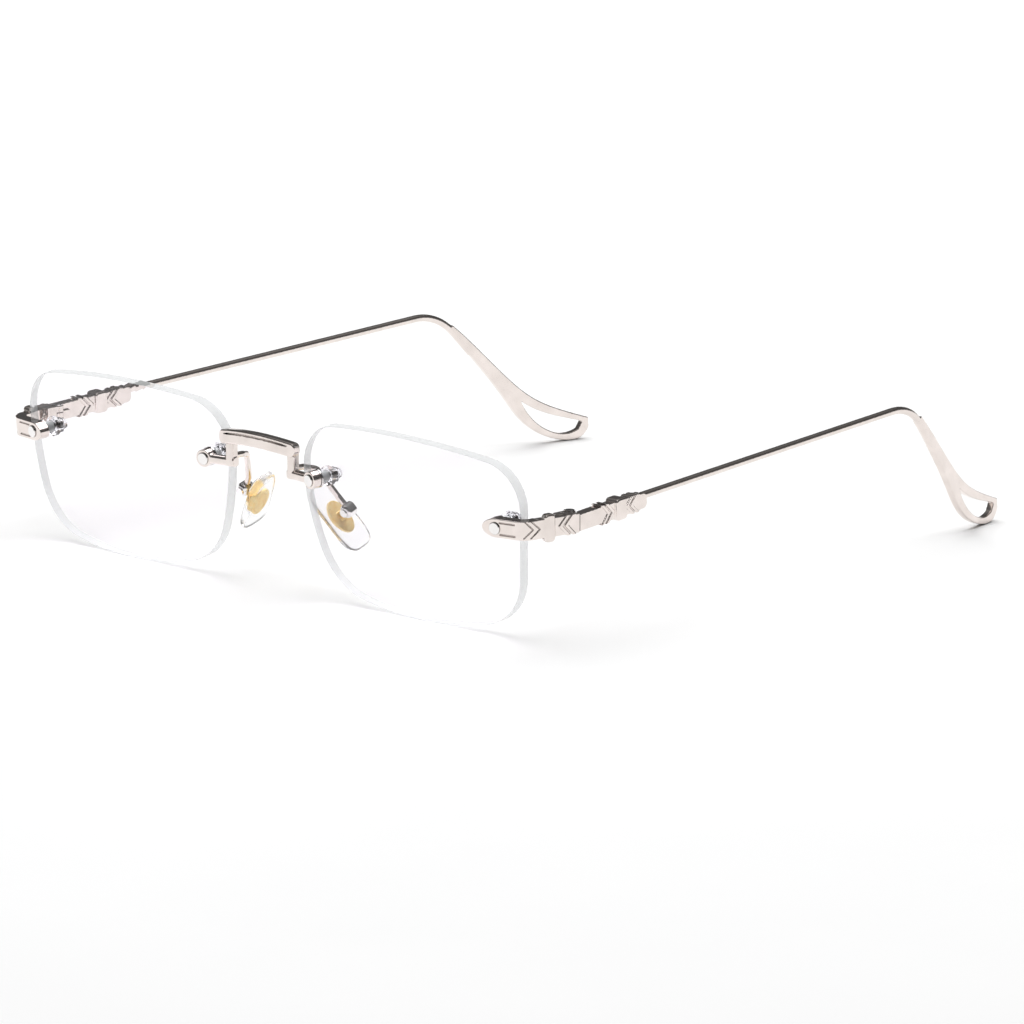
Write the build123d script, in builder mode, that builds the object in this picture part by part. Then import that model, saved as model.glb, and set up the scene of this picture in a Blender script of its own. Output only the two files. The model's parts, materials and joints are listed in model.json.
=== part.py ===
from build123d import *
import os
from math import atan2, cos, degrees, radians, sin, sqrt, tan

os.makedirs("parts", exist_ok=True)

# Rimless eyeglasses. Millimetres and degrees.
# +X is the right side as seen from the front, the lens fronts face -Y, Z = 0 is the ground.
# Every piece beside the bridge is made on the right and mirrored to the left.

# Lenses
lens_width = 53.1
lens_height = 33.6
lens_gap = 18.7
corner_drop = 3.25
lens_curve = 137.5
lens_thickness = 2.0
lens_tilt = 7.7
lens_wrap = 1.1
top_bulge, side_bulge, bottom_bulge, nose_bulge = 2.8, 0.6, 3.1, 2.35
top_nose_radius, top_outer_radius, bottom_outer_radius, bottom_nose_radius = 9.7, 8.5, 10.7, 12.7

# Lens mounts: stud, washers, sleeve and cap nut on one axis through the lens
mount_hole_radius = 1.1
stud_radius = 0.7
stud_head_radius = 1.1
stud_head_height = 0.3
front_washer_radius = 1.7
front_washer_thickness = 0.3
rear_washer_radius = 1.8
rear_washer_thickness = 0.8
cap_nut_radius = 1.45
cap_nut_length = 2.0
cap_nut_flats_share, cap_nut_bore_share, stud_reach_share = 0.55, 0.7, 0.6
cap_nut_taper = 18
running_clearance = 0.03
outer_mount_inset = 3.85
outer_mount_rise = 4.2
nose_mount_inset = 4.45
nose_mount_rise = 6.0

# Bridge
bridge_half_span = 9.6
bridge_height = 2.65
bridge_depth = 1.8
bridge_bow = 1.1
bridge_rise = 0.9
bridge_top = 29.2
bridge_front = -1.2
leg_inner = 6.95
leg_width = 1.8
leg_depth = 1.8
leg_front = -0.55
foot_height = 1.7
foot_depth = 1.7
foot_rounding = 0.6
boss_radius = 1.6

# Engraved lines
engraving_width = 0.26
engraving_depth = 0.2
engraving_inset = 0.62
corner_chevron_place = 2.2

# Endpieces
bar_height = 3.4
bar_depth = 2.0
bar_nose_length = 2.7
bar_straight = 4.5
corner_radius = 3.4
side_flare = 12.0
side_slope = 1.5
seam_setback = 11.8
seam_gap = 0.1
collar_height = 5.1
collar_length = 2.2
collar_depth = 1.6
collar_offset = 0.55
collar_setback = 6.4
bead_corner = 0.75
bead_rounding = 0.45

# Hinges
knuckle_radius = 1.15
knuckle_height = 1.2
tongue_height = 1.0
knuckle_gap = 0.05
relief_clearance = 0.12
pivot_inset = 0.7
hinge_screw_radius = 0.6
hinge_head_radius = 0.95
hinge_head_height = 0.2
screw_slot_width = 0.3
screw_slot_depth = 0.12
hinge_block_length = 3.2

# Temple castings
casting_slope = 3.8
casting_inward = 4.0
casting_height = 3.0
casting_length = 18.2
bead_place = 11.0
bead_height = 4.0
bead_length = 2.8
bead_depth = 3.0
end_bead_height = 2.75
end_bead_length = 2.8
chevron_place = 5.6
chevron_width = 0.75
chevron_pitch = 1.2
chevron_advance = 1.7
chevron_proud = 0.22
chevron_overhang = 0.3

# Temple wires and ear ends
wire_radius = 0.68
wire_slope = 3.35
wire_rise = 0.68
wire_socket_depth = 2.2
bend_reach = 93.0
bend_radius = 11.0
ear_inward = 14.6
ear_steepness = 1.363
ear_reach = 31.8
ear_thickness = 1.3
ear_neck = 2.6

# Nose pads
pad_length = 13.5
pad_width = 6.2
pad_top_radius = 2.6
pad_thickness = 2.0
pad_centre_x, pad_centre_behind, pad_centre_z = 10.5, 9.5, 13.7
pad_lean = 40.0
pad_heading = 28.0
pad_splay = 10.0
core_length = 6.6
core_width = 3.9
core_thickness = 0.7
lug_height = 3.3
lug_radius = 0.85
lug_thickness = 0.9
pad_box_width = 2.6
pad_box_length = 2.6
pad_box_height = 2.3
pad_box_rounding = 0.9
pad_box_slot = 1.1
pad_screw_radius = 0.4
pad_screw_head_radius = 0.75
pad_screw_head_height = 0.3
pad_arm_radius = 0.55
pad_arm_bend = 1.2

# Derived places
half_width = lens_width / 2
half_height = lens_height / 2
lens_x = lens_gap / 2 + half_width
lens_bottom = half_height - corner_drop + bottom_bulge
bottom_sag = lens_bottom**2 / (2 * lens_curve)
lens_z = lens_bottom * cos(radians(lens_tilt)) - bottom_sag * sin(radians(lens_tilt))
front_proud = bridge_bow - bridge_front
ear_back = seam_setback + bend_reach + ear_reach + ear_thickness / 2 * sin(radians(ear_inward))
lens_y = front_proud / 2 - ear_back / 2
seam_y = lens_y + seam_setback
UP = Vector(0, 0, 1)


def lens_plane():
    """Plane at the right lens's front vertex: x outwards, y up, z forwards."""
    wrap = radians(lens_wrap)
    tilt = radians(lens_tilt)
    across = Vector(cos(wrap), sin(wrap), 0)
    level_front = Vector(sin(wrap), -cos(wrap), 0)
    front = level_front * cos(tilt) - UP * sin(tilt)
    return Plane(origin=(lens_x, lens_y, lens_z), x_dir=across, z_dir=front)


def mount_plane(u, v):
    """Plane on the lens front at (u, v): x level and outwards, z along the stud to the front."""
    lens = lens_plane()
    depth = sqrt(lens_curve**2 - u**2 - v**2)
    origin = lens.from_local_coords(Vector(u, v, depth - lens_curve))
    centre = lens.from_local_coords(Vector(0, 0, -lens_curve))
    normal = (origin - centre).normalized()
    return Plane(origin=origin, x_dir=UP.cross(normal), z_dir=normal)


outer_mount = mount_plane(half_width - outer_mount_inset, outer_mount_rise)
nose_mount = mount_plane(nose_mount_inset - half_width, nose_mount_rise)


def save(part, name):
    part.label = name
    export_step(part, "parts/" + name + ".step")


def save_pair(part, name):
    """Write the right-hand piece and its mirror image."""
    save(part, "right_" + name)
    with BuildPart() as left:
        mirror(part, about=Plane.YZ)
    save(left.part, "left_" + name)


def nearest(corners, point):
    return corners.sort_by_distance(Vertex(*point))[0]


def lens_outline():
    """Rounded rectangle of four arcs, flatter at the outer side, with four corner radii."""
    top_nose = (0.5 - half_width, half_height - 1.9)
    top_outer = (half_width + 0.5, half_height - 3.0)
    bottom_outer = (half_width - 2.5, corner_drop - half_height)
    bottom_nose = (6.1 - half_width, corner_drop - half_height)
    with BuildSketch() as outline:
        with BuildLine():
            SagittaArc(top_nose, top_outer, top_bulge)
            SagittaArc(top_outer, bottom_outer, side_bulge)
            SagittaArc(bottom_outer, bottom_nose, bottom_bulge)
            SagittaArc(bottom_nose, top_nose, nose_bulge)
        make_face()
        fillet(nearest(outline.vertices(), (*top_nose, 0)), top_nose_radius)
        fillet(nearest(outline.vertices(), (*top_outer, 0)), top_outer_radius)
        fillet(nearest(outline.vertices(), (*bottom_outer, 0)), bottom_outer_radius)
        fillet(nearest(outline.vertices(), (*bottom_nose, 0)), bottom_nose_radius)
    return outline.sketch


def make_lens():
    plane = lens_plane()
    outline = lens_outline()
    with BuildPart() as lens:
        with BuildSketch(plane.offset(1)):
            add(outline)
        extrude(amount=-10)
        with Locations(plane.offset(-lens_curve)):
            Sphere(lens_curve, mode=Mode.INTERSECT)
            Sphere(lens_curve - lens_thickness, mode=Mode.SUBTRACT)
        for mount in (outer_mount, nose_mount):
            with Locations(mount):
                Cylinder(mount_hole_radius, 4 * lens_thickness, mode=Mode.SUBTRACT)
    return lens.part


def washer(mount, start, thickness, outer, inner):
    """Ring on a mount's axis, from the height start back by its thickness."""
    with BuildPart() as ring:
        with BuildSketch(mount.offset(start)):
            Circle(outer)
            Circle(inner, mode=Mode.SUBTRACT)
        extrude(amount=-thickness)
    return ring.part


def make_stud(mount, seat):
    """Stud with a flat disc head on the metal and a shank that ends inside the cap nut."""
    back = lens_thickness + 2 * running_clearance + rear_washer_thickness + cap_nut_length * stud_reach_share
    with BuildPart() as stud:
        with BuildSketch(mount.offset(seat)):
            Circle(stud_head_radius)
        extrude(amount=stud_head_height)
        rim = stud.faces().sort_by(Axis(mount.origin, mount.z_dir))[-1].edges()
        chamfer(rim, stud_head_height / 3)
        with BuildSketch(mount.offset(seat)):
            Circle(stud_radius)
        extrude(amount=-seat - back)
    return stud.part


def make_cap_nut(mount):
    """Six-sided nut with a tapered end and a blind hole."""
    start = -lens_thickness - 2 * running_clearance - rear_washer_thickness
    with BuildPart() as nut:
        with BuildSketch(mount.offset(start)):
            RegularPolygon(cap_nut_radius, 6, major_radius=True)
        extrude(amount=-cap_nut_length * cap_nut_flats_share)
        with BuildSketch(mount.offset(start - cap_nut_length * cap_nut_flats_share)):
            Circle(cap_nut_radius * 0.8)
        extrude(amount=-cap_nut_length * (1 - cap_nut_flats_share), taper=cap_nut_taper)
        with BuildSketch(mount.offset(start)):
            Circle(stud_radius + running_clearance)
        extrude(amount=-cap_nut_length * cap_nut_bore_share, mode=Mode.SUBTRACT)
    return nut.part


def make_mount_set(mount, name, metal_depth):
    """Stud, front washer, sleeve, rear washer and cap nut of one lens mount."""
    bore = stud_radius + running_clearance
    seat = front_washer_thickness + metal_depth
    save_pair(make_stud(mount, seat), name + "_stud")
    front = washer(mount, front_washer_thickness, front_washer_thickness, front_washer_radius, bore)
    save_pair(front, name + "_front_washer")
    sleeve = washer(mount, 0, lens_thickness, mount_hole_radius - running_clearance, bore)
    save_pair(sleeve, name + "_sleeve")
    back = -lens_thickness - running_clearance
    rear = washer(mount, back, rear_washer_thickness, rear_washer_radius, bore)
    save_pair(rear, name + "_rear_washer")
    save_pair(make_cap_nut(mount), name + "_cap_nut")


def bridge_engraving(face_y):
    """Long line engraved in the bowed front face of the bridge, parallel to its top edge."""
    half = bridge_half_span - 2 * engraving_inset
    end_z = bridge_top - bridge_rise * (half / bridge_half_span) ** 2 - engraving_inset
    mid_z = bridge_top - engraving_inset
    outside = face_y - engraving_depth
    inside = face_y + engraving_depth
    with BuildPart() as line:
        with BuildSketch():
            with BuildLine():
                a = ThreePointArc((-half, outside), (0, outside - bridge_bow), (half, outside))
                b = Line(a @ 1, (half, inside))
                c = ThreePointArc(b @ 1, (0, inside - bridge_bow), (-half, inside))
                Line(c @ 1, a @ 0)
            make_face()
        extrude(amount=2 * bridge_top)
        with BuildSketch(Plane.XZ.offset(-face_y - 10)):
            with BuildLine():
                a = ThreePointArc((-half, end_z), (0, mid_z), (half, end_z))
                b = Line(a @ 1, (half, end_z - engraving_width))
                c = ThreePointArc(b @ 1, (0, mid_z - engraving_width), (-half, end_z - engraving_width))
                Line(c @ 1, a @ 0)
            make_face()
        extrude(amount=20, mode=Mode.INTERSECT)
    return line.part


def make_foot():
    """Rounded bar from the right leg to the stud boss over the lens."""
    base = nose_mount.offset(front_washer_thickness)
    middle = base.offset(foot_depth / 2)
    with BuildPart() as foot:
        with BuildSketch(Plane(origin=middle.origin, x_dir=base.z_dir, z_dir=base.x_dir)):
            RectangleRounded(foot_depth, foot_height, foot_rounding)
        extrude(amount=leg_inner - nose_mount.origin.X)
        with BuildSketch(base):
            Circle(boss_radius)
        extrude(amount=foot_depth)
        with Locations(base):
            Cylinder(stud_radius + running_clearance, 4 * foot_depth, mode=Mode.SUBTRACT)
    return foot.part


def make_bridge():
    """Bowed and arched bar on two legs, with a foot and a stud boss over each lens."""
    face_y = lens_y + bridge_front
    leg_y = lens_y + leg_front + leg_depth / 2
    leg_centre = leg_inner + leg_width / 2
    leg_foot_z = nose_mount.origin.Z - foot_height / 2
    engraving = bridge_engraving(face_y)
    foot = make_foot()
    bottom = bridge_top - bridge_rise - bridge_height
    end = bridge_half_span
    with BuildPart() as bridge:
        with BuildSketch(Plane.XY.offset(bottom - 1)):
            with BuildLine():
                a = ThreePointArc((-end, face_y), (0, face_y - bridge_bow), (end, face_y))
                b = Line(a @ 1, (end, face_y + bridge_depth))
                c = ThreePointArc(b @ 1, (0, face_y + bridge_depth - bridge_bow), (-end, face_y + bridge_depth))
                Line(c @ 1, a @ 0)
            make_face()
        extrude(amount=bridge_height + bridge_rise + 2)
        with BuildSketch(Plane.XZ.offset(-face_y - 10)) as front:
            with BuildLine():
                top = bridge_top - bridge_rise
                a = ThreePointArc((-end, top), (0, bridge_top), (end, top))
                b = Line(a @ 1, (end, bottom))
                c = ThreePointArc(b @ 1, (0, bridge_top - bridge_height), (-end, bottom))
                Line(c @ 1, a @ 0)
            make_face()
            fillet(front.vertices(), bridge_height * 0.4)
        extrude(amount=20, mode=Mode.INTERSECT)
        fillet(bridge.edges(), 0.35)
        add(engraving, mode=Mode.SUBTRACT)
        for side in (1, -1):
            with BuildSketch(Plane.XY.offset(leg_foot_z)):
                with Locations((side * leg_centre, leg_y)):
                    RectangleRounded(leg_width, leg_depth, 0.5)
            extrude(amount=bottom + bridge_height / 2 - leg_foot_z)
        add(foot)
        mirror(foot, about=Plane.YZ)
    return bridge.part


def arrow(start, half_height_, width, advance):
    """Corner points of one chevron band that points along +x."""
    tip = start + advance
    return [
        (start, half_height_), (start + width, half_height_), (tip + width, 0),
        (start + width, -half_height_), (start, -half_height_), (tip, 0),
    ]


def chevron_band(plane, points):
    """Band standing proud of a bar on both sides of its middle plane."""
    with BuildPart() as band:
        with BuildSketch(plane):
            with BuildLine():
                Polyline(*points, close=True)
            make_face()
        extrude(amount=bar_depth / 2 + chevron_proud, both=True)
    return band.part


def bar_path():
    """Plan plane of the endpiece and the angle through which its corner turns."""
    back = -outer_mount.z_dir
    plan = Plane(origin=outer_mount.origin, x_dir=outer_mount.x_dir, z_dir=outer_mount.x_dir.cross(back))
    turn = 90 - side_flare - degrees(atan2(plan.x_dir.Y, plan.x_dir.X))
    return plan, turn


def side_corner():
    """Place of the bar's outer face where the corner ends, in part coordinates."""
    plan, turn = bar_path()
    face = -front_washer_thickness - bar_depth
    x = bar_straight + corner_radius * sin(radians(turn))
    y = face + corner_radius * (1 - cos(radians(turn)))
    return plan.from_local_coords(Vector(x, y, 0))


corner_end = side_corner()
side_level = Vector(sin(radians(side_flare)), cos(radians(side_flare)), 0)
side_out = Vector(cos(radians(side_flare)), -sin(radians(side_flare)), 0)
side_run = side_level * cos(radians(side_slope)) + UP * sin(radians(side_slope))
side_plane = Plane(origin=corner_end - side_out * (bar_depth / 2), x_dir=side_run, z_dir=side_out)
side_length = (seam_y - corner_end.Y) / side_run.Y
seam_point = corner_end + side_run * side_length
pivot_x = seam_point.X - bar_depth - pivot_inset
hinge_plane = Plane(origin=(pivot_x, seam_y, seam_point.Z), x_dir=(1, 0, 0), z_dir=(0, 0, 1))


def corner_engraving():
    """Two chevrons round the bar's corner and two lines along its front face."""
    plan, turn = bar_path()
    face = -front_washer_thickness - bar_depth
    centre = (bar_straight, face + corner_radius)
    half = bar_height / 2
    across = plan.x_dir.rotate(Axis.Z, turn / 2)
    out = across.rotate(Axis.Z, -90)
    middle = plan.from_local_coords(Vector(*centre, 0)) + out * corner_radius
    chevrons = Plane(origin=middle, x_dir=across, z_dir=out)
    with BuildPart() as skin:
        with BuildSketch(plan):
            with BuildLine():
                a = Line((0, face - engraving_depth), (bar_straight, face - engraving_depth))
                b = CenterArc(centre, corner_radius + engraving_depth, -90, turn)
                along = b % 1
                c = Line(b @ 1, (b @ 1) + along * chevron_advance)
                inward = (Vector(*centre) - (b @ 1)).normalized()
                d = Line(c @ 1, (c @ 1) + inward * 2 * engraving_depth)
                e = Line(d @ 1, (d @ 1) - along * chevron_advance)
                f = CenterArc(centre, corner_radius - engraving_depth, turn - 90, -turn)
                g = Line(f @ 1, (0, face + engraving_depth))
                Line(g @ 1, a @ 0)
            make_face()
        extrude(amount=bar_height, both=True)
    with BuildPart() as lines:
        for index in range(2):
            points = arrow(0, half, engraving_width, chevron_advance)
            place = corner_chevron_place - index * chevron_pitch - chevron_advance
            with BuildSketch(chevrons):
                with BuildLine():
                    Polyline(*[(x + place, y) for x, y in points], close=True)
                make_face()
            extrude(amount=2, both=True)
        with BuildSketch(outer_mount):
            with Locations((2.6, half - engraving_inset), (2.6, engraving_inset - half)):
                Rectangle(3.4, engraving_width)
            Circle(stud_head_radius + engraving_inset / 2, mode=Mode.SUBTRACT)
        extrude(amount=2 * bar_depth)
    with BuildPart() as engraving:
        add(lines)
        add(skin, mode=Mode.INTERSECT)
    return engraving.part


def rounded_bead(plane, place, length, height, depth):
    """Drum-like block across the bar, with every corner and edge rounded."""
    with BuildPart() as bead:
        with BuildSketch(plane):
            with Locations((place, 0)):
                RectangleRounded(length, height, bead_corner)
        extrude(amount=depth / 2, both=True)
        ends = bead.faces().sort_by(Axis(plane.origin, plane.z_dir))
        fillet(ends[0].edges() + ends[-1].edges(), radius=bead_rounding)
    return bead.part


def make_endpiece():
    """Bar over the lens that turns the corner and ends at the seam, with the hinge fork behind it."""
    plan, turn = bar_path()
    face = -front_washer_thickness - bar_depth
    centre = (bar_straight, face + corner_radius)
    inner = corner_radius - bar_depth
    stub = 0.5
    bands = []
    for index in range(2):
        points = arrow(0, bar_height / 2 + chevron_overhang / 2, chevron_width, chevron_advance)
        place = side_length - 0.9 - index * chevron_pitch
        bands.append(chevron_band(side_plane, [(place - x, y) for x, y in points]))
    engraving = corner_engraving()
    collar_place = side_length - collar_setback
    collar_plane = side_plane.offset(collar_offset)
    collar = rounded_bead(collar_plane, collar_place, collar_length, collar_height, collar_depth)
    barrel = tongue_height + 2 * knuckle_gap + 2 * knuckle_height
    block_width = pivot_inset + knuckle_radius * 0.8
    with BuildPart() as endpiece:
        with BuildSketch(plan):
            with BuildLine():
                a = Line((-bar_nose_length, face), (bar_straight, face))
                b = CenterArc(centre, corner_radius, -90, turn)
                direction = Vector(cos(radians(turn)), sin(radians(turn)))
                c = Line(b @ 1, (b @ 1) + direction * stub)
                d = Line(c @ 1, (c @ 1) + direction.rotate(Axis.Z, 90) * bar_depth)
                e = Line(d @ 1, (d @ 1) - direction * stub)
                f = CenterArc(centre, inner, turn - 90, -turn)
                g = Line(f @ 1, (-bar_nose_length, face + bar_depth))
                Line(g @ 1, a @ 0)
            make_face()
        extrude(amount=bar_height / 2, both=True)
        with BuildSketch(outer_mount):
            with Locations((0.4 - bar_nose_length, 0)):
                Rectangle(bar_nose_length * 2, bar_height * 2)
            with Locations((0.4, 0)):
                Ellipse(bar_nose_length + 0.4, bar_height / 2 + 0.02, mode=Mode.SUBTRACT)
            with Locations((bar_nose_length + 0.4, 0)):
                Rectangle(bar_nose_length * 2, bar_height * 2, mode=Mode.SUBTRACT)
        extrude(amount=3 * bar_depth, both=True, mode=Mode.SUBTRACT)
        with Locations(outer_mount):
            Cylinder(stud_radius + running_clearance, 6 * bar_depth, mode=Mode.SUBTRACT)
        with BuildSketch(side_plane):
            with Locations((side_length / 2, 0)):
                Rectangle(side_length + 2 * stub, bar_height)
        extrude(amount=bar_depth / 2, both=True)
        add(engraving, mode=Mode.SUBTRACT)
        add(collar)
        add(bands)
        with Locations((0, seam_y - seam_gap / 2 + 20, seam_point.Z)):
            Box(300, 40, 40, mode=Mode.SUBTRACT)
        with BuildSketch(hinge_plane):
            Circle(knuckle_radius)
            with Locations((pivot_inset - block_width / 2 + 0.1, -hinge_block_length / 2)):
                Rectangle(block_width + 0.2, hinge_block_length)
        extrude(amount=barrel / 2, both=True)
        with BuildSketch(hinge_plane):
            Circle(knuckle_radius + relief_clearance)
        extrude(amount=tongue_height / 2 + knuckle_gap, both=True, mode=Mode.SUBTRACT)
        with Locations(hinge_plane):
            Cylinder(hinge_screw_radius + running_clearance, 20, mode=Mode.SUBTRACT)
    return endpiece.part


def make_hinge_screw():
    """Slotted screw down through the fork and the tongue."""
    top = tongue_height / 2 + knuckle_gap + knuckle_height
    with BuildPart() as screw:
        with BuildSketch(hinge_plane.offset(top)):
            Circle(hinge_head_radius)
        extrude(amount=hinge_head_height)
        with BuildSketch(hinge_plane.offset(top)):
            Circle(hinge_screw_radius)
        extrude(amount=-2 * top)
        with BuildSketch(hinge_plane.offset(top + hinge_head_height)):
            Rectangle(3 * hinge_head_radius, screw_slot_width)
        extrude(amount=-screw_slot_depth, mode=Mode.SUBTRACT)
    return screw.part


temple_inward = radians(casting_inward)
temple_out = Vector(cos(temple_inward), sin(temple_inward), 0)
temple_level = Vector(-sin(temple_inward), cos(temple_inward), 0)
temple_run = temple_level * cos(radians(casting_slope)) + UP * sin(radians(casting_slope))
temple_plane = Plane(
    origin=seam_point - temple_out * (bar_depth / 2),
    x_dir=temple_run,
    z_dir=temple_out,
)
wire_start = temple_plane.from_local_coords(Vector(casting_length - wire_socket_depth, wire_rise, 0))
wire_reach = seam_y + bend_reach - wire_start.Y
wire_run = Vector(-tan(temple_inward), 1, tan(radians(wire_slope)))
bend_point = wire_start + wire_run * wire_reach
ear_level = Vector(-sin(radians(ear_inward)), cos(radians(ear_inward)), 0)
ear_length = ear_reach / cos(radians(ear_inward))
ear_height = bend_point.Z
ear_fall = ear_steepness * ear_height / ear_length
ear_run = (ear_level - UP * ear_fall).normalized()


def make_casting():
    """Ornamented front of the temple, with the hinge tongue at its front end."""
    half = casting_height / 2
    bands = []
    for index in range(2):
        place = chevron_place + index * chevron_pitch
        points = arrow(place, half + chevron_overhang, chevron_width, chevron_advance)
        bands.append(chevron_band(temple_plane, points))
        place = casting_length - end_bead_length + index * chevron_pitch - chevron_width
        points = arrow(0, half + chevron_overhang / 2, chevron_width, chevron_advance)
        bands.append(chevron_band(temple_plane, [(place - x, y) for x, y in points]))
    bead = rounded_bead(temple_plane, bead_place, bead_length, bead_height, bead_depth)
    with BuildPart() as casting:
        with BuildSketch(temple_plane):
            with Locations(((casting_length - end_bead_length) / 2, 0)):
                Rectangle(casting_length - end_bead_length + 2, casting_height)
        extrude(amount=bar_depth / 2, both=True)
        add(bead)
        add(bands)
        with BuildSketch(temple_plane):
            with Locations((casting_length - end_bead_length / 2 - 0.2, 0)):
                RectangleRounded(end_bead_length + 0.4, end_bead_height, 1.0)
        extrude(amount=bar_depth / 2, both=True)
        with Locations((0, seam_y + seam_gap / 2 - 20, seam_point.Z)):
            Box(300, 40, 40, mode=Mode.SUBTRACT)
        with BuildSketch(hinge_plane):
            Circle(knuckle_radius + relief_clearance)
        extrude(amount=10, both=True, mode=Mode.SUBTRACT)
        with BuildSketch(hinge_plane):
            Circle(knuckle_radius)
            with Locations((pivot_inset / 2 + 0.1, 1.6)):
                Rectangle(pivot_inset + 0.2, 3.2)
        extrude(amount=tongue_height / 2, both=True)
        with Locations(hinge_plane):
            Cylinder(hinge_screw_radius + running_clearance, 20, mode=Mode.SUBTRACT)
        with BuildSketch(Plane(origin=wire_start, z_dir=wire_run)):
            Circle(wire_radius + running_clearance)
        extrude(amount=20, mode=Mode.SUBTRACT)
    return casting.part


def bent_rod(points, bend, radius):
    """Round rod along straight runs, with one arc of the given radius at each inner point."""
    points = [Vector(*p) if isinstance(p, tuple) else p for p in points]
    first = (points[1] - points[0]).normalized()
    with BuildPart() as rod:
        with BuildLine() as path:
            start = points[0]
            for before, here, after in zip(points, points[1:], points[2:]):
                into = (here - before).normalized()
                out = (after - here).normalized()
                setback = bend * tan(radians(into.get_angle(out)) / 2)
                Line(start, here - into * setback)
                TangentArc(here - into * setback, here + out * setback, tangent=into)
                start = here + out * setback
            Line(start, points[-1])
        with BuildSketch(Plane(origin=points[0], z_dir=first)):
            Circle(radius)
        sweep(path=path.wires()[0])
    return rod.part


def ear_points(shares):
    """Points of the ear end's outline, given as shares of its length and of its height."""
    return [(along * ear_length, up * ear_height) for along, up in shares]


def make_temple_wire():
    """Straight wire that bends down behind the ear and flattens into an open, sail-shaped end."""
    rod_end = bend_point + ear_run * bend_radius
    rod = bent_rod([wire_start, bend_point, rod_end], bend_radius, wire_radius)
    plane = Plane(origin=(bend_point.X, bend_point.Y, 0), x_dir=ear_level, z_dir=ear_level.cross(UP))
    neck_z = ear_height - ear_neck * ear_fall
    half_neck = Vector(ear_fall, 1).normalized() * wire_radius
    neck_top = (ear_neck + half_neck.X, neck_z + half_neck.Y)
    neck_low = (ear_neck - half_neck.X, neck_z - half_neck.Y)
    back_edge = [(0.242, 0.748), (0.447, 0.508), (0.628, 0.333), (0.823, 0.222), (0.996, 0.15)]
    heel = [(1.0, 0.085), (0.941, 0.012), (0.823, 0.01), (0.684, 0.066), (0.571, 0.16)]
    front_edge = [(0.442, 0.352), (0.242, 0.645)]
    hole_top = [(0.545, 0.325), (0.658, 0.243), (0.782, 0.187), (0.957, 0.128)]
    hole_low = [(0.931, 0.075), (0.823, 0.055), (0.756, 0.077), (0.653, 0.152), (0.545, 0.325)]
    with BuildPart() as wire:
        add(rod)
        with BuildSketch(plane):
            with BuildLine():
                upper = Spline(neck_top, *ear_points(back_edge))
                rear = Line(upper @ 1, ear_points(heel)[0])
                lower = Spline(rear @ 1, *ear_points(heel)[1:], *ear_points(front_edge), neck_low)
                Line(lower @ 1, upper @ 0)
            make_face()
            with BuildLine():
                inner_top = Spline(*ear_points(hole_top))
                inner_rear = Line(inner_top @ 1, ear_points(hole_low)[0])
                Spline(inner_rear @ 1, *ear_points(hole_low)[1:])
            make_face(mode=Mode.SUBTRACT)
        extrude(amount=ear_thickness / 2, both=True)
    return wire.part


pad_centre = Vector(pad_centre_x, lens_y + pad_centre_behind, pad_centre_z)
pad_level = Vector(cos(radians(pad_heading)), sin(radians(pad_heading)), 0)
pad_down = pad_level * sin(radians(pad_lean)) - UP * cos(radians(pad_lean))
pad_side = Vector(sin(radians(pad_splay)), cos(radians(pad_splay)), 0)
pad_out = pad_down.cross(pad_side).normalized()
pad_plane = Plane(origin=pad_centre, x_dir=pad_out.cross(pad_down), z_dir=pad_out)
lug_centre = pad_plane.from_local_coords(Vector(0, 0, lug_height))
lug_plane = Plane(origin=lug_centre, x_dir=pad_plane.z_dir, z_dir=pad_plane.x_dir)


def make_pad_core():
    """Oval plate inside the pad, with a lug that the pad screw passes through."""
    with BuildPart() as core:
        with BuildSketch(pad_plane):
            Ellipse(core_width / 2, core_length / 2)
        extrude(amount=core_thickness / 2, both=True)
        with BuildSketch(lug_plane):
            Circle(lug_radius)
            with Locations((-lug_height / 2, 0)):
                Rectangle(lug_height, 2 * lug_radius)
            Circle(pad_screw_radius + running_clearance, mode=Mode.SUBTRACT)
        extrude(amount=lug_thickness / 2, both=True)
    return core.part


def make_pad(core):
    """Teardrop silicone pad moulded round the core plate."""
    bottom_radius = pad_width / 2
    bottom_y = bottom_radius - pad_length / 2
    top_y = pad_length / 2 - pad_top_radius
    with BuildPart() as pad:
        with BuildSketch(pad_plane):
            with Locations((0, bottom_y)):
                Circle(bottom_radius)
            with Locations((0, top_y)):
                Circle(pad_top_radius)
            make_hull()
        extrude(amount=pad_thickness / 2, both=True)
        fillet(pad.edges().filter_by(GeomType.LINE, reverse=True), pad_thickness * 0.4)
        add(core, mode=Mode.SUBTRACT)
    return pad.part


def make_pad_box():
    """Rounded clasp at the end of the pad arm, slotted for the lug."""
    side = Axis(lug_plane.origin, lug_plane.z_dir)
    with BuildPart() as box:
        with BuildSketch(lug_plane):
            RectangleRounded(pad_box_height, pad_box_length, pad_box_rounding)
        extrude(amount=pad_box_width / 2, both=True)
        for face in (box.faces().sort_by(side)[0], box.faces().sort_by(side)[-1]):
            chamfer(face.edges(), pad_box_rounding / 2)
        with BuildSketch(lug_plane):
            Circle(lug_radius + 0.25)
            with Locations((-pad_box_height / 2, 0)):
                Rectangle(pad_box_height, 2 * lug_radius + 1.0)
        extrude(amount=pad_box_slot / 2, both=True, mode=Mode.SUBTRACT)
        with Locations(lug_plane):
            Cylinder(pad_screw_radius + running_clearance, 10, mode=Mode.SUBTRACT)
    return box.part


def make_pad_screw():
    """Slotted screw across the pad box, with its head towards the front."""
    half_box = pad_box_width / 2
    with BuildPart() as screw:
        with BuildSketch(lug_plane.offset(-half_box)):
            Circle(pad_screw_head_radius)
        extrude(amount=-pad_screw_head_height)
        with BuildSketch(lug_plane.offset(-half_box)):
            Circle(pad_screw_radius)
        extrude(amount=pad_box_width)
    return screw.part


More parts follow.
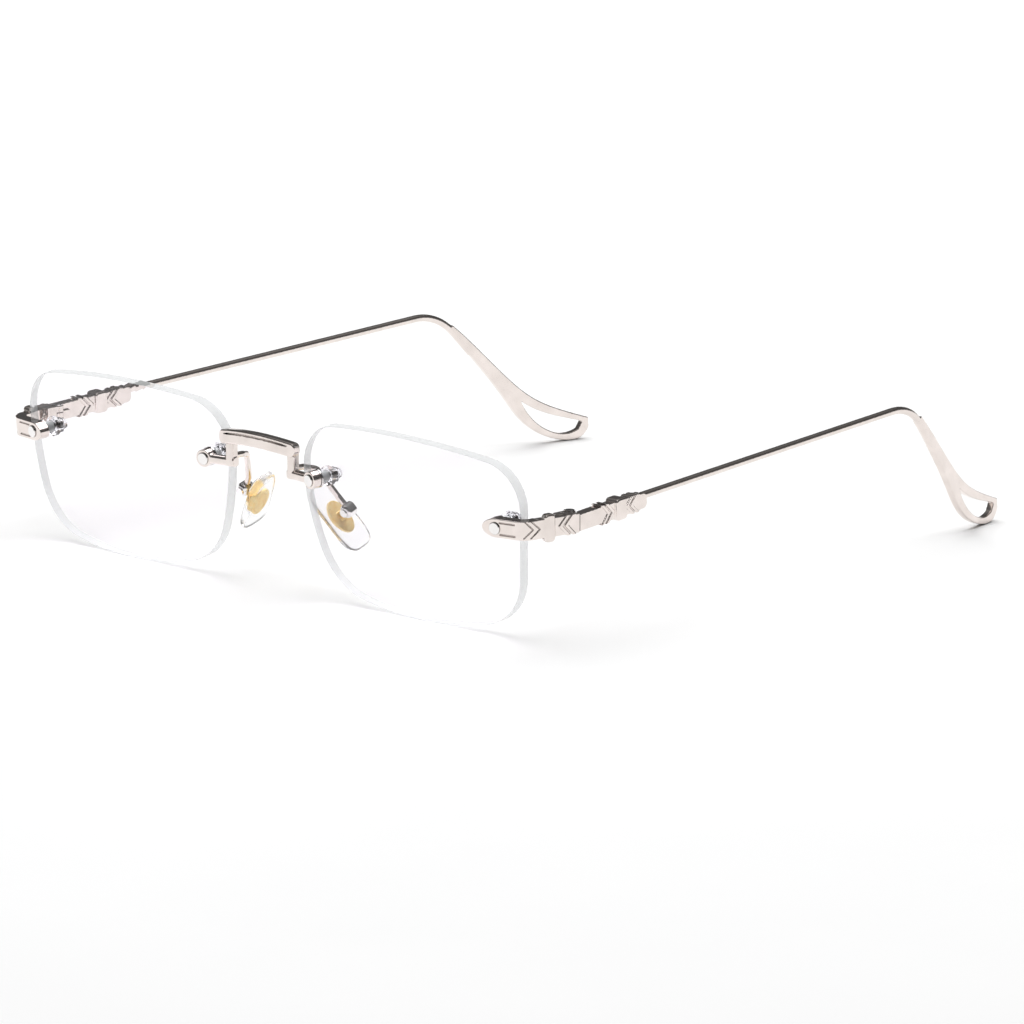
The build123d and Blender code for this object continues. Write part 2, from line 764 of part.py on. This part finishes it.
def make_pad_arm():
    """Wire from the back of the bridge leg, over and down to the top of the pad box."""
    leg_back = lens_y + leg_front + leg_depth + running_clearance
    arm_z = nose_mount.origin.Z + 0.9
    start = Vector(leg_inner + leg_width / 2, leg_back, arm_z)
    crook = Vector(9.0, lens_y + 5.2, arm_z - 0.5)
    box_top = pad_box_length / 2 + running_clearance
    end = lug_centre - pad_down * box_top
    above = lug_centre - pad_down * (box_top + 1.8)
    points = [start, start + Vector(0, 1.6, 0), crook, above, end]
    return bent_rod(points, pad_arm_bend, pad_arm_radius)


save_pair(make_lens(), "lens")
make_mount_set(outer_mount, "outer", bar_depth)
make_mount_set(nose_mount, "nose", foot_depth)
save(make_bridge(), "bridge")
save_pair(make_endpiece(), "endpiece")
save_pair(make_hinge_screw(), "hinge_screw")
save_pair(make_casting(), "temple_casting")
save_pair(make_temple_wire(), "temple_wire")
pad_core = make_pad_core()
save_pair(pad_core, "pad_core")
save_pair(make_pad(pad_core), "nose_pad")
save_pair(make_pad_box(), "pad_box")
save_pair(make_pad_screw(), "pad_screw")
save_pair(make_pad_arm(), "pad_arm")
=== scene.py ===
import bpy
import json
from math import cos, radians, sin
from mathutils import Matrix, Vector

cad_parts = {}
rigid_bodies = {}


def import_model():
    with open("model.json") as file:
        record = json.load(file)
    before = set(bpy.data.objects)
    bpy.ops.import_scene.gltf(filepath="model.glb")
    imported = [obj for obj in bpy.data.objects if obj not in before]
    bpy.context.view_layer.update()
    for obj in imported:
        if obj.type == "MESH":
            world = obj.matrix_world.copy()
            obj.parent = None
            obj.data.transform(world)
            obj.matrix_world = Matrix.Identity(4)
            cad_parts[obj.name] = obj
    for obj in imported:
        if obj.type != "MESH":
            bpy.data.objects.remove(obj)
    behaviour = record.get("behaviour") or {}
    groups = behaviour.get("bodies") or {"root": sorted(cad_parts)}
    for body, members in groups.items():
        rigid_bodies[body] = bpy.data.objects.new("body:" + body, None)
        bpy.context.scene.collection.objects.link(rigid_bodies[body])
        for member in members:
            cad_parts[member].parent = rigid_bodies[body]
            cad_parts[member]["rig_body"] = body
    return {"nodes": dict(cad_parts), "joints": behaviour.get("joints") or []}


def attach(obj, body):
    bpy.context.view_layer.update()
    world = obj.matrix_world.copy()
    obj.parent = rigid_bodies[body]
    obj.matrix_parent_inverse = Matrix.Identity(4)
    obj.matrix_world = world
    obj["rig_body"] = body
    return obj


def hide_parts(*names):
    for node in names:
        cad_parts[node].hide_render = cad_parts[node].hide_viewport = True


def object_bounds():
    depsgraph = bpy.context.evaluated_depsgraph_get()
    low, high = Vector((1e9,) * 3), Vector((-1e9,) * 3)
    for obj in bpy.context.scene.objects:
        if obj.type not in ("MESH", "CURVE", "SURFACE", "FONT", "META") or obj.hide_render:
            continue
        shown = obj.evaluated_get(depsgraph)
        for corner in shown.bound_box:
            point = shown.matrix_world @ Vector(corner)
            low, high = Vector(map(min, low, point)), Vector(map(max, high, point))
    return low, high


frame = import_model()
cad_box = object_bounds()

# Rimless eyeglasses. Metres. The lens fronts face -Y, +X is the right side seen from the front.
MM = 0.001
SIDES = ("right", "left")
BRIDGE_PROUD = 2.3 * MM
LENS_AXIS = Vector((0.0, -0.991, -0.134))
LENS_FACE_LIMIT = 0.92
LENS_BEVEL = 0.1 * MM
JOIN_DISTANCE = 0.002 * MM


# ---------------------------------------------------------------- materials

def start_material(name):
    """A new node material, with its Principled shader and its Object coordinates."""
    material = bpy.data.materials.new(name)
    material.use_nodes = True
    shader = material.node_tree.nodes["Principled BSDF"]
    coordinates = material.node_tree.nodes.new("ShaderNodeTexCoord")
    return material, shader, coordinates.outputs["Object"]


def noise(material, place, scale, detail=4.0):
    """Noise at a scale given in bumps per millimetre."""
    node = material.node_tree.nodes.new("ShaderNodeTexNoise")
    node.inputs["Scale"].default_value = scale / MM
    node.inputs["Detail"].default_value = detail
    material.node_tree.links.new(place, node.inputs["Vector"])
    return node.outputs["Fac"]


def stretch(material, place, size):
    """Stretched coordinates, for lines that run one way."""
    node = material.node_tree.nodes.new("ShaderNodeMapping")
    node.inputs["Scale"].default_value = size
    material.node_tree.links.new(place, node.inputs["Vector"])
    return node.outputs["Vector"]


def ramp(material, value, stops):
    node = material.node_tree.nodes.new("ShaderNodeValToRGB")
    elements = node.color_ramp.elements
    while len(elements) < len(stops):
        elements.new(0.5)
    for element, (place, colour) in zip(elements, stops):
        element.position = place
        element.color = (*colour, 1.0)
    material.node_tree.links.new(value, node.inputs["Fac"])
    return node.outputs["Color"]


def grey(value):
    return (value, value, value)


def multiply(material, first, second):
    node = material.node_tree.nodes.new("ShaderNodeMix")
    node.data_type = "RGBA"
    node.blend_type = "MULTIPLY"
    node.inputs["Factor"].default_value = 1.0
    material.node_tree.links.new(first, node.inputs[6])
    material.node_tree.links.new(second, node.inputs[7])
    return node.outputs[2]


def bump(material, shader, height, strength, depth):
    node = material.node_tree.nodes.new("ShaderNodeBump")
    node.inputs["Strength"].default_value = strength
    node.inputs["Distance"].default_value = depth * MM
    material.node_tree.links.new(height, node.inputs["Height"])
    material.node_tree.links.new(node.outputs["Normal"], shader.inputs["Normal"])


def recess(material, reach):
    """How open the surface is, by ambient occlusion: low in engraved lines and in corners, where it is
    used to paint shade.
    """
    node = material.node_tree.nodes.new("ShaderNodeAmbientOcclusion")
    node.samples = 8
    node.inputs["Distance"].default_value = reach * MM
    return node.outputs["AO"]


def let_light_through(material, shader, tint):
    """Lamps shine through the clear piece, so that its shadow is pale."""
    nodes, links = material.node_tree.nodes, material.node_tree.links
    path = nodes.new("ShaderNodeLightPath")
    clear = nodes.new("ShaderNodeBsdfTransparent")
    clear.inputs["Color"].default_value = (*tint, 1.0)
    mix = nodes.new("ShaderNodeMixShader")
    links.new(path.outputs["Is Shadow Ray"], mix.inputs[0])
    links.new(shader.outputs["BSDF"], mix.inputs[1])
    links.new(clear.outputs["BSDF"], mix.inputs[2])
    links.new(mix.outputs["Shader"], nodes["Material Output"].inputs["Surface"])


def polished_silver(name, light, dark, rough_low, rough_high, lines):
    """Warm nickel silver: cloudy tone, fine polishing lines, and painted shade darkening the recesses.
    """
    material, shader, place = start_material(name)
    tone = ramp(material, noise(material, place, 0.35), ((0.3, dark), (0.7, light)))
    # Painted shade: ambient occlusion darkens the base colour in engraved lines, recesses and corners.
    painted_recess_shade = ramp(material, recess(material, 0.45), ((0.25, (0.10, 0.09, 0.085)), (0.8, grey(1.0))))
    material.node_tree.links.new(multiply(material, tone, painted_recess_shade), shader.inputs["Base Color"])
    shader.inputs["Metallic"].default_value = 1.0
    wear = noise(material, place, 2.2, 6.0)
    rough = ramp(material, wear, ((0.3, grey(rough_low)), (0.75, grey(rough_high))))
    material.node_tree.links.new(rough, shader.inputs["Roughness"])
    brushed = noise(material, stretch(material, place, lines), 6.0, 3.0)
    bump(material, shader, brushed, 0.10, 0.01)
    return material


def clear_glass(name, tint, tint_edge, ior, rough):
    """Clear piece with a faint cloudy tint and a very slight waviness."""
    material, shader, place = start_material(name)
    colour = ramp(material, noise(material, place, 0.05), ((0.3, tint), (0.7, tint_edge)))
    material.node_tree.links.new(colour, shader.inputs["Base Color"])
    shader.inputs["Transmission Weight"].default_value = 1.0
    shader.inputs["Roughness"].default_value = rough
    shader.inputs["IOR"].default_value = ior
    bump(material, shader, noise(material, place, 0.4, 2.0), 0.02, 0.01)
    let_light_through(material, shader, tint)
    return material


def frosted_edge(name):
    """Ground edge of a lens: half clear and milky, with a fine grain."""
    material, shader, place = start_material(name)
    grain = noise(material, place, 5.0, 5.0)
    colour = ramp(material, grain, ((0.25, (0.60, 0.63, 0.63)), (0.75, (0.72, 0.75, 0.75))))
    material.node_tree.links.new(colour, shader.inputs["Base Color"])
    rough = ramp(material, grain, ((0.3, grey(0.38)), (0.7, grey(0.55))))
    material.node_tree.links.new(rough, shader.inputs["Roughness"])
    shader.inputs["IOR"].default_value = 1.5
    shader.inputs["Alpha"].default_value = 0.5
    bump(material, shader, grain, 0.25, 0.02)
    return material


def clear_silicone(name):
    """Soft clear silicone: slightly cloudy, with a satin moulded skin."""
    material, shader, place = start_material(name)
    cloud = noise(material, place, 0.3, 3.0)
    colour = ramp(material, cloud, ((0.3, (0.96, 0.96, 0.97)), (0.7, grey(1.0))))
    material.node_tree.links.new(colour, shader.inputs["Base Color"])
    shader.inputs["Transmission Weight"].default_value = 0.93
    rough = ramp(material, noise(material, place, 3.0), ((0.3, grey(0.05)), (0.7, grey(0.14))))
    material.node_tree.links.new(rough, shader.inputs["Roughness"])
    shader.inputs["IOR"].default_value = 1.22
    bump(material, shader, noise(material, place, 2.5, 3.0), 0.05, 0.02)
    let_light_through(material, shader, (0.90, 0.90, 0.91))
    return material


def satin_gold(name):
    """Gold-coloured plate with fine stamping grain, and painted shade darkening its recesses."""
    material, shader, place = start_material(name)
    tone = noise(material, place, 1.2)
    colour = ramp(material, tone, ((0.3, (0.98, 0.66, 0.22)), (0.7, (1.0, 0.80, 0.40))))
    # Painted shade: ambient occlusion darkens the gold colour in recesses and corners.
    painted_plate_shade = ramp(material, recess(material, 0.4), ((0.15, (0.75, 0.55, 0.32)), (0.6, grey(1.0))))
    material.node_tree.links.new(multiply(material, colour, painted_plate_shade), shader.inputs["Base Color"])
    shader.inputs["Metallic"].default_value = 0.35
    rough = ramp(material, noise(material, place, 4.0), ((0.3, grey(0.25)), (0.7, grey(0.42))))
    material.node_tree.links.new(rough, shader.inputs["Roughness"])
    bump(material, shader, noise(material, place, 8.0, 2.0), 0.15, 0.01)
    return material


def pale_floor(name):
    material, shader, place = start_material(name)
    colour = ramp(material, noise(material, place, 0.01), ((0.3, grey(0.90)), (0.7, grey(0.92))))
    material.node_tree.links.new(colour, shader.inputs["Base Color"])
    shader.inputs["Roughness"].default_value = 0.9
    shader.inputs["Specular IOR Level"].default_value = 0.1
    return material


SILVER_LIGHT = (0.85, 0.775, 0.735)
SILVER_DARK = (0.75, 0.68, 0.64)
cast_silver = polished_silver("cast_silver", SILVER_LIGHT, SILVER_DARK, 0.07, 0.16, (1, 1, 1))
wire_silver = polished_silver("drawn_wire_silver", SILVER_LIGHT, SILVER_DARK, 0.10, 0.20, (1, 0.08, 1))
STEEL_LIGHT = (0.90, 0.88, 0.87)
STEEL_DARK = (0.82, 0.80, 0.79)
bright_steel = polished_silver("turned_steel", STEEL_LIGHT, STEEL_DARK, 0.06, 0.14, (1, 1, 0.2))
lens_clear = clear_glass("coated_lens", (0.975, 0.955, 0.985), (0.985, 0.97, 0.99), 1.03, 0.0)
coating = lens_clear.node_tree.nodes["Principled BSDF"]
coating.inputs["Coat Weight"].default_value = 0.6
coating.inputs["Coat IOR"].default_value = 1.4
coating.inputs["Coat Roughness"].default_value = 0.0
lens_ground = frosted_edge("ground_lens_edge")
clear_plastic = clear_glass("clear_washer", (0.96, 0.96, 0.97), (0.98, 0.98, 0.99), 1.2, 0.04)
crystal = clear_glass("cut_crystal", (0.94, 0.95, 0.98), (0.98, 0.98, 0.99), 1.28, 0.01)
silicone = clear_silicone("clear_silicone")
gold = satin_gold("satin_gold")


# ---------------------------------------------------------------- making and finishing pieces

def make_active(piece):
    bpy.ops.object.select_all(action="DESELECT")
    piece.select_set(True)
    bpy.context.view_layer.objects.active = piece


def merged_copy(node, name):
    """A copy of a CAD solid with its loose triangles joined up."""
    piece = bpy.data.objects.new(name, frame["nodes"][node].data.copy())
    bpy.context.scene.collection.objects.link(piece)
    make_active(piece)
    bpy.ops.mesh.customdata_custom_splitnormals_clear()
    bpy.ops.object.mode_set(mode="EDIT")
    bpy.ops.mesh.select_all(action="SELECT")
    bpy.ops.mesh.remove_doubles(threshold=JOIN_DISTANCE)
    bpy.ops.object.mode_set(mode="OBJECT")
    return piece


def apply_all(piece):
    make_active(piece)
    for modifier in list(piece.modifiers):
        bpy.ops.object.modifier_apply(modifier=modifier.name)


def stand_for(piece, node, finish):
    """The piece takes the CAD node's place, body and finish."""
    piece.data.materials.clear()
    piece.data.materials.append(finish)
    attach(piece, frame["nodes"][node]["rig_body"])
    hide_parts(node)
    return piece


def melted(node, name, grain, rounds, share, finish, slot_name):
    """A copy of a CAD solid with every edge rounded, as on a polished casting."""
    piece = merged_copy(node, name)
    remesh = piece.modifiers.new("melt", "REMESH")
    remesh.mode = "VOXEL"
    remesh.voxel_size = grain * MM
    remesh.use_smooth_shade = True
    relax = piece.modifiers.new("polish", "SMOOTH")
    relax.factor = 0.5
    relax.iterations = rounds
    thin = piece.modifiers.new("thin", "DECIMATE")
    thin.ratio = share
    apply_all(piece)
    return stand_for(piece, node, finish)


def make_lens(side):
    """Lens with a narrow bevel round its rim, clear faces and a ground edge."""
    piece = merged_copy(side + "_lens", side + "_lens_glass")
    bevel = piece.modifiers.new("rim", "BEVEL")
    bevel.limit_method = "ANGLE"
    bevel.angle_limit = radians(45)
    bevel.width = LENS_BEVEL
    bevel.segments = 2
    bevel.use_clamp_overlap = False
    apply_all(piece)
    bpy.ops.object.shade_smooth_by_angle(angle=radians(25))
    stand_for(piece, side + "_lens", lens_clear)
    piece.data.materials.append(lens_ground)
    for face in piece.data.polygons:
        face.material_index = 0 if abs(face.normal.dot(LENS_AXIS)) > LENS_FACE_LIMIT else 1
    return piece


# node, name, voxel in millimetres, rounds of smoothing, share of faces kept, finish, slot
MELTED = (
    ("_endpiece", "_endpiece_polished", 0.07, 5, 0.6, cast_silver, "silver_metal"),
    ("_temple_casting", "_temple_ornament", 0.07, 5, 0.6, cast_silver, "silver_metal"),
    ("_temple_wire", "_temple_wire_polished", 0.1, 5, 0.5, wire_silver, "silver_metal"),
    ("_pad_box", "_pad_clasp", 0.06, 40, 0.6, bright_steel, "silver_metal"),
    ("_pad_core", "_pad_plate", 0.06, 4, 0.6, gold, "gold_plate"),
)
for side in SIDES:
    make_lens(side)
    for node, name, *settings in MELTED:
        melted(side + node, side + name, *settings)
melted("bridge", "bridge_polished", 0.08, 6, 0.6, cast_silver, "silver_metal")


# ---------------------------------------------------------------- nose pads

PAD_LEAN, PAD_HEADING = radians(40), radians(28)
PAD_LENGTH, PAD_WIDTH, PAD_THICKNESS = 13.5 * MM, 6.2 * MM, 2.0 * MM
PAD_TOP_SHARE = 0.84
LUG_HEIGHT = 3.3 * MM
RIM_RADIUS = 1.0 * MM
RIM_THICKNESS = 0.16 * MM
RIM_STRETCH = (1.35, 2.5, 1.0)
RIM_SUNK = 0.35 * MM


def pad_matrix(side):
    """Where the pad lies: its width along the rock joint's axis, its face across from the lug."""
    joint = [j for j in frame["joints"] if j["name"] == side + "_pad_rock"][0]
    sign = 1 if side == "right" else -1
    across = Vector(joint["axis"]) * sign
    down = Vector((sign * cos(PAD_HEADING), sin(PAD_HEADING), 0)) * sin(PAD_LEAN)
    down.z = -cos(PAD_LEAN)
    out = down.cross(across).normalized() * sign
    centre = Vector(joint["pos_m"]) - out * LUG_HEIGHT
    turn = Matrix((across, -down, out)).transposed().to_4x4()
    return Matrix.Translation(centre) @ turn


def make_pad(side):
    """Silicone teardrop, full at the bottom, with rounded edges and a slightly crowned face."""
    bpy.ops.object.select_all(action="DESELECT")
    bpy.ops.mesh.primitive_cube_add(size=1)
    piece = bpy.context.object
    piece.name = side + "_pad_silicone"
    bpy.ops.object.mode_set(mode="EDIT")
    bpy.ops.transform.resize(value=(PAD_WIDTH, PAD_LENGTH, PAD_THICKNESS))
    bpy.ops.mesh.subdivide(number_cuts=1)
    bpy.ops.object.mode_set(mode="OBJECT")
    for vertex in piece.data.vertices:
        vertex.co.x *= 1 + (PAD_TOP_SHARE - 1) * (vertex.co.y / PAD_LENGTH + 0.5)
    rounding = piece.modifiers.new("rounding", "SUBSURF")
    rounding.levels = 5
    rounding.render_levels = 5
    apply_all(piece)
    full = Vector((PAD_WIDTH, PAD_LENGTH, PAD_THICKNESS))
    for vertex in piece.data.vertices:
        vertex.co = Vector(vertex.co[i] * full[i] / piece.dimensions[i] for i in range(3))
    bpy.ops.object.shade_smooth()
    piece.data.transform(pad_matrix(side))
    if side == "left":
        make_active(piece)
        bpy.ops.object.mode_set(mode="EDIT")
        bpy.ops.mesh.select_all(action="SELECT")
        bpy.ops.mesh.normals_make_consistent(inside=False)
        bpy.ops.object.mode_set(mode="OBJECT")
    return stand_for(piece, side + "_nose_pad", silicone)


def make_plate_rim(side):
    """Raised oval rim stamped into the gold plate."""
    bpy.ops.object.select_all(action="DESELECT")
    bpy.ops.mesh.primitive_torus_add(
        major_radius=RIM_RADIUS, minor_radius=RIM_THICKNESS, major_segments=64, minor_segments=16
    )
    piece = bpy.context.object
    piece.name = side + "_pad_plate_rim"
    bpy.ops.object.mode_set(mode="EDIT")
    bpy.ops.transform.resize(value=RIM_STRETCH)
    bpy.ops.object.mode_set(mode="OBJECT")
    bpy.ops.object.shade_smooth()
    piece.data.transform(Matrix.Translation((0, 0, -RIM_SUNK)))
    piece.data.transform(pad_matrix(side))
    piece.data.materials.append(gold)
    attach(piece, frame["nodes"][side + "_pad_core"]["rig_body"])
    return piece


for side in SIDES:
    make_pad(side)
    make_plate_rim(side)


# ---------------------------------------------------------------- small hardware keeps its CAD shape

HARDWARE = {
    "pad_arm": wire_silver,
    "pad_screw": bright_steel,
    "hinge_screw": bright_steel,
    "outer_stud": bright_steel,
    "nose_stud": bright_steel,
    "outer_front_washer": bright_steel,
    "nose_front_washer": bright_steel,
    "outer_sleeve": clear_plastic,
    "nose_sleeve": clear_plastic,
    "outer_rear_washer": clear_plastic,
    "nose_rear_washer": clear_plastic,
    "outer_cap_nut": crystal,
    "nose_cap_nut": crystal,
}
for side in SIDES:
    for part, finish in HARDWARE.items():
        mesh = frame["nodes"][side + "_" + part].data
        mesh.materials.clear()
        mesh.materials.append(finish)


# ---------------------------------------------------------------- floor, light and camera

FLOOR_SIZE = 12
FLOOR_GAP = 0.02 * MM

bpy.ops.object.select_all(action="DESELECT")
bpy.ops.mesh.primitive_plane_add(size=FLOOR_SIZE, location=(0, 0, -FLOOR_GAP))
floor = bpy.context.object
floor.name = "floor"
floor.data.materials.append(pale_floor("pale_floor"))

world = bpy.data.worlds.new("studio")
world.use_nodes = True
bpy.context.scene.world = world
sky = world.node_tree.nodes
direction = sky.new("ShaderNodeTexCoord")
split = sky.new("ShaderNodeSeparateXYZ")
height = sky.new("ShaderNodeValToRGB")
world.node_tree.links.new(direction.outputs["Generated"], split.inputs["Vector"])
world.node_tree.links.new(split.outputs["Z"], height.inputs["Fac"])
bands = ((0.0, 0.95), (0.06, 0.9), (0.12, 0.10), (0.55, 0.07), (0.75, 0.16), (1.0, 0.30))
while len(height.color_ramp.elements) < len(bands):
    height.color_ramp.elements.new(0.5)
for element, (place, value) in zip(height.color_ramp.elements, bands):
    element.position = place
    element.color = (value, value, value, 1.0)
world.node_tree.links.new(height.outputs["Color"], sky["Background"].inputs["Color"])


def softbox(name, place, aim, size, power, mirrored):
    """Square lamp; it is mirrored in polished metal or only lights it."""
    light = bpy.data.lights.new(name, "AREA")
    light.shape = "SQUARE"
    light.size = size
    light.energy = power
    lamp = bpy.data.objects.new(name, light)
    lamp.location = place
    lamp.visible_glossy = mirrored
    lamp.rotation_mode = "QUATERNION"
    lamp.rotation_quaternion = (Vector(place) - Vector(aim)).to_track_quat("Z", "Y")
    bpy.context.scene.collection.objects.link(lamp)


softbox("overhead_softbox", (-0.3, 0.3, 1.6), (0, 0, 0), 2.2, 43, False)
softbox("glint_softbox", (0.5, -0.6, 1.3), (0, 0, 0), 0.35, 1.2, True)

lens_front = cad_box[0].y + BRIDGE_PROUD
AZIMUTH, ELEVATION, DISTANCE = radians(44.65), radians(12.17), 2.243
target = Vector((0, lens_front + 63.62 * MM, 4.69 * MM))
back = Vector((
    sin(AZIMUTH) * cos(ELEVATION),
    -cos(AZIMUTH) * cos(ELEVATION),
    sin(ELEVATION),
))
camera_data = bpy.data.cameras.new("camera")
camera_data.sensor_width = 36
camera_data.lens = 433.2
camera_data.clip_start = 0.01
camera_data.clip_end = 100
camera = bpy.data.objects.new("camera", camera_data)
camera.location = target + back * DISTANCE
camera.rotation_mode = "QUATERNION"
camera.rotation_quaternion = back.to_track_quat("Z", "Y")
bpy.context.scene.collection.objects.link(camera)
bpy.context.scene.camera = camera
bpy.context.scene.view_settings.view_transform = "Standard"
